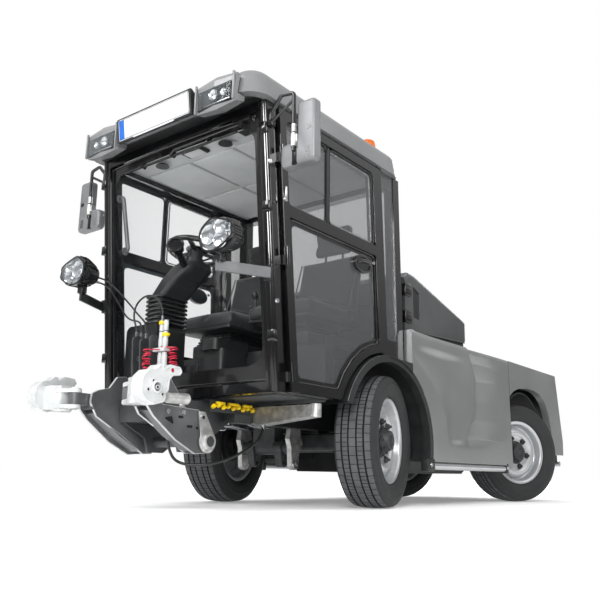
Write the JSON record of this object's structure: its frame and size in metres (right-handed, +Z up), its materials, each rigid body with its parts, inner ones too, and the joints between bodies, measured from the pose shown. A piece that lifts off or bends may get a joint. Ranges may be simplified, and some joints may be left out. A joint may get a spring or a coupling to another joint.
{
  "type": "compact road sweeper carrier vehicle",
  "caption": "Compact municipal carrier of a road sweeper: glass cab, steerable wheels, flat rear deck, engine hood and front lift arms with coupler heads.",
  "frame": {"origin": "on the ground under the middle of the overall length and width", "axes": "-Y forwards, +X to the machine's left, +Z up"},
  "size_m": [1.71, 4.1419, 2.1142],
  "materials": {
    "tyre": "matt",
    "wheel_silver": "satin",
    "cast_dark": "satin",
    "chassis_grey": "satin",
    "gloss_black": "gloss",
    "cab_glass": "gloss",
    "tinted_glass": "gloss",
    "roof_grey": "satin",
    "panel_grey": "satin",
    "hood_grey": "satin",
    "black_plastic": "matt",
    "light_trim": "matt",
    "mirror_grey": "satin",
    "beacon_orange": "gloss",
    "seat_cloth": "matt",
    "cast_silver": "satin",
    "cast_white": "satin",
    "arm_grey": "satin",
    "plate_white": "gloss",
    "step_silver": "satin",
    "hose_black": "satin"
  },
  "bodies": {
    "machine": {"front_axle": "cast_dark", "rear_axle": "cast_dark", "chassis_frame": "chassis_grey", "tank_box": "black_plastic", "engine_block": "cast_dark", "linkage_hangers": "cast_silver", "cross_tube": "cast_dark", "outriggers": "chassis_grey", "front_arches": "black_plastic", "rear_arches": "black_plastic", "cab_frame": "gloss_black", "cab_floor": "chassis_grey", "windscreen": "cab_glass", "rear_window": "cab_glass", "quarter_windows": "tinted_glass", "roof": "roof_grey", "headliner": "light_trim", "roof_lamps": "black_plastic", "plate_board": "plate_white", "beacon": "beacon_orange", "side_panels": "panel_grey", "rear_fenders": "panel_grey", "rear_panel": "panel_grey", "deck": "chassis_grey", "hood_base": "black_plastic", "side_tubes": "step_silver", "tail_bar": "step_silver", "seats": "seat_cloth", "steering_column": "black_plastic", "console": "black_plastic", "mirrors": "mirror_grey", "head_lamps": "black_plastic", "hose_tower": "chassis_grey", "hose_couplers": "cast_white", "lamp_hose_upper": "hose_black", "lamp_hose_lower": "hose_black", "tower_hose_loop": "hose_black", "under_arm_hose": "hose_black"},
    "front_left_steer": {"front_left_knuckle": "cast_dark"},
    "front_left_wheel": {"front_left_tyre": "tyre", "front_left_rim": "wheel_silver"},
    "front_right_steer": {"front_right_knuckle": "cast_dark"},
    "front_right_wheel": {"front_right_tyre": "tyre", "front_right_rim": "wheel_silver"},
    "rear_left_steer": {"rear_left_knuckle": "cast_dark"},
    "rear_left_wheel": {"rear_left_tyre": "tyre", "rear_left_rim": "wheel_silver"},
    "rear_right_steer": {"rear_right_knuckle": "cast_dark"},
    "rear_right_wheel": {"rear_right_tyre": "tyre", "rear_right_rim": "wheel_silver"},
    "left_door": {"door_left_frame": "gloss_black", "door_left_glass": "tinted_glass"},
    "right_door": {"door_right_frame": "gloss_black", "door_right_glass": "tinted_glass"},
    "engine_hood": {"hood": "hood_grey"},
    "steering_wheel_body": {"steering_wheel": "black_plastic"},
    "left_lift_arm": {"lift_arm_left": "arm_grey"},
    "left_coupler": {"coupler_head_left": "cast_white"},
    "right_lift_arm": {"lift_arm_right": "arm_grey"},
    "right_coupler": {"coupler_head_right": "cast_white"}
  },
  "joints": [
    {"name": "front_left_steering", "type": "hinge", "parent": "machine", "child": "front_left_steer", "pos_m": [0.43, -0.605, 0.343], "axis": [0, 0, 1], "range_deg": [-43.5, 16.5]},
    {"name": "front_left_spin", "type": "hinge", "parent": "front_left_steer", "child": "front_left_wheel", "pos_m": [0.51751, -0.58399, 0.343], "axis": [0.9724, 0.2334, 0], "continuous": true},
    {"name": "front_right_steering", "type": "hinge", "parent": "machine", "child": "front_right_steer", "pos_m": [-0.43, -0.605, 0.343], "axis": [0, 0, 1], "range_deg": [-43.5, 16.5]},
    {"name": "front_right_spin", "type": "hinge", "parent": "front_right_steer", "child": "front_right_wheel", "pos_m": [-0.51751, -0.62601, 0.343], "axis": [0.9724, 0.2334, 0], "continuous": true},
    {"name": "rear_left_steering", "type": "hinge", "parent": "machine", "child": "rear_left_steer", "pos_m": [0.43, 1.328, 0.343], "axis": [0, 0, 1], "range_deg": [-2.5, 57.5]},
    {"name": "rear_left_spin", "type": "hinge", "parent": "rear_left_steer", "child": "rear_left_wheel", "pos_m": [0.50983, 1.28644, 0.343], "axis": [0.887, -0.4617, 0], "continuous": true},
    {"name": "rear_right_steering", "type": "hinge", "parent": "machine", "child": "rear_right_steer", "pos_m": [-0.43, 1.328, 0.343], "axis": [0, 0, 1], "range_deg": [-2.5, 57.5]},
    {"name": "rear_right_spin", "type": "hinge", "parent": "rear_right_steer", "child": "rear_right_wheel", "pos_m": [-0.50983, 1.36956, 0.343], "axis": [0.887, -0.4617, 0], "continuous": true},
    {"name": "left_door_hinge", "type": "hinge", "parent": "machine", "child": "left_door", "pos_m": [0.632, -1.422, 0.51], "axis": [0, 0.0966, -0.9953], "range_deg": [0, 75]},
    {"name": "right_door_hinge", "type": "hinge", "parent": "machine", "child": "right_door", "pos_m": [-0.632, -1.422, 0.51], "axis": [0, -0.0966, 0.9953], "range_deg": [0, 75]},
    {"name": "hood_hinge", "type": "hinge", "parent": "machine", "child": "engine_hood", "pos_m": [0, 0.61, 1.046], "axis": [-1, 0, 0], "range_deg": [0, 65]},
    {"name": "steering_wheel_turn", "type": "hinge", "parent": "machine", "child": "steering_wheel_body", "pos_m": [-0.25, -1.208, 1.372], "axis": [0, 0.225, 0.9744], "continuous": true},
    {"name": "left_arm_lift", "type": "hinge", "parent": "machine", "child": "left_lift_arm", "pos_m": [0.188, -1.552, 0.3], "axis": [-1, 0, 0], "range_deg": [-20, 25]},
    {"name": "left_coupler_swing", "type": "hinge", "parent": "left_lift_arm", "child": "left_coupler", "pos_m": [0.188, -1.962, 0.478], "axis": [0, 0, 1], "range_deg": [-20, 20]},
    {"name": "right_arm_lift", "type": "hinge", "parent": "machine", "child": "right_lift_arm", "pos_m": [-0.188, -1.552, 0.3], "axis": [-1, 0, 0], "range_deg": [-20, 25]},
    {"name": "right_coupler_swing", "type": "hinge", "parent": "right_lift_arm", "child": "right_coupler", "pos_m": [-0.188, -1.962, 0.478], "axis": [0, 0, 1], "range_deg": [-20, 20]}
  ],
  "couplings": [
    {"joint": "front_right_steering", "follows": "front_left_steering", "ratio": 1},
    {"joint": "rear_right_steering", "follows": "rear_left_steering", "ratio": 1}
  ]
}
